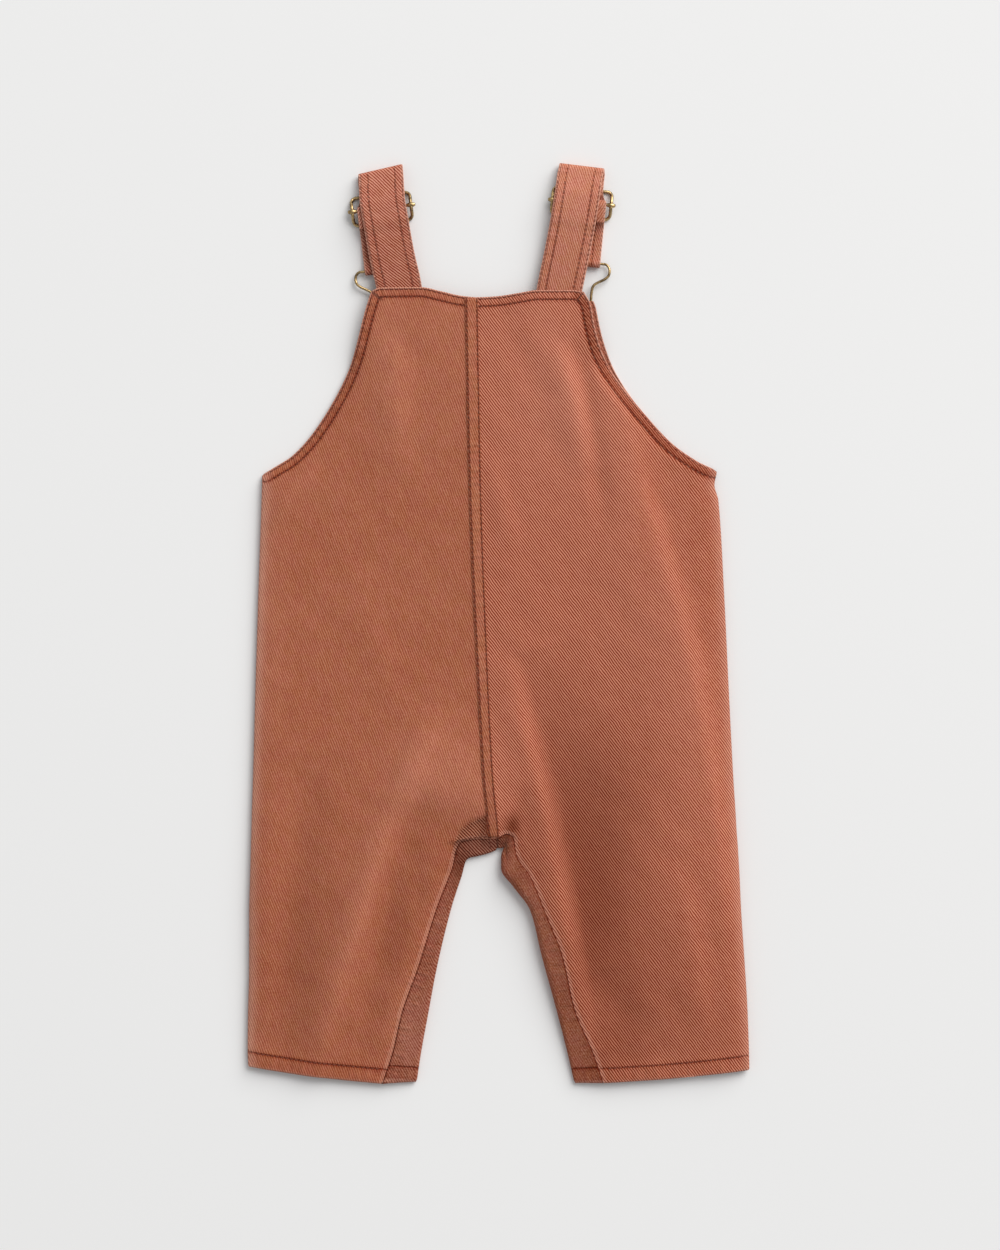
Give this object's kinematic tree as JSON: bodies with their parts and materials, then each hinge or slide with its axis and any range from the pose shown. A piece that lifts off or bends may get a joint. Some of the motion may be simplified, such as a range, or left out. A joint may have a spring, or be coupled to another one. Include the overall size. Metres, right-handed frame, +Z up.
{
  "type": "baby overalls",
  "caption": "Baby overalls in rust twill, laid flat with the back up: felled back seam, straps folded over, brass slides and hooks on bib buttons, wide short legs.",
  "frame": {"origin": "on the surface that the garment lies on, under the middle of its outline box", "axes": "+Y from the leg hems to the shoulder folds, +Z up out of the back panels, -X at the wearer's left"},
  "size_m": [0.3016, 0.5518, 0.0115],
  "materials": {
    "twill": "garment-dyed cotton twill, washed, matt",
    "strap_twill": "the same twill doubled, faded at its edges",
    "antique_brass": "antiqued, gold where it is rubbed and dark in its hollows"
  },
  "bodies": {
    "root": {"back_left": "twill", "back_right": "twill", "back_centre_seam": "twill", "front_left": "twill", "front_right": "twill", "strap_left": "strap_twill", "strap_right": "strap_twill", "slide_frame_left": "antique_brass", "slide_frame_right": "antique_brass", "slide_bar_left": "antique_brass", "slide_bar_right": "antique_brass", "hook_left": "antique_brass", "hook_right": "antique_brass", "bib_button_left": "antique_brass", "bib_button_right": "antique_brass"}
  },
  "joints": []
}
